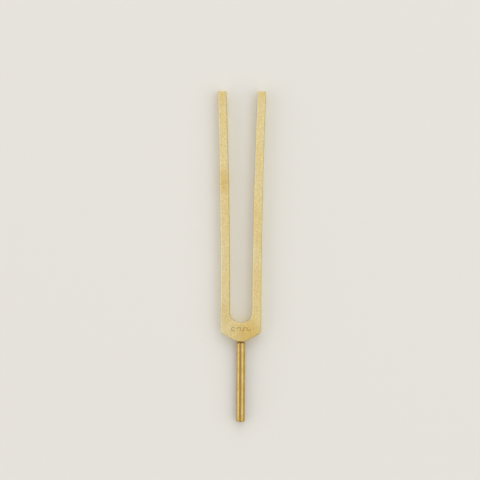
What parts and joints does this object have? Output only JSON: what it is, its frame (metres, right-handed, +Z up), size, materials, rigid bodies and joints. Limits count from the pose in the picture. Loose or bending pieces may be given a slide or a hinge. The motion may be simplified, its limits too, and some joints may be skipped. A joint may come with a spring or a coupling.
{
  "type": "tuning fork",
  "caption": "Brass tuning fork: slim tines that lean apart from a half-round crotch, a wedge-shaped yoke with a pitch mark, and a plain round stem to hold it by or to stand on a surface.",
  "frame": {"origin": "under the middle of the fork's overall length and width, on the flat face it lies on", "axes": "+Y along the fork from the stem's foot to the tips of the tines, +X across the two tines, +Z up through the bar's thickness, from the face it lies on to the face with the pitch mark"},
  "size_m": [0.0348, 0.24, 0.008],
  "materials": {
    "body_brass": "satin, ground along the tines",
    "stem_brass": "drawn and turned, half bright",
    "stud_steel": "black oxide, oiled"
  },
  "bodies": {
    "root": {"fork_body": "body_brass", "stem_rod": "stem_brass", "joining_stud": "stud_steel"}
  },
  "joints": []
}
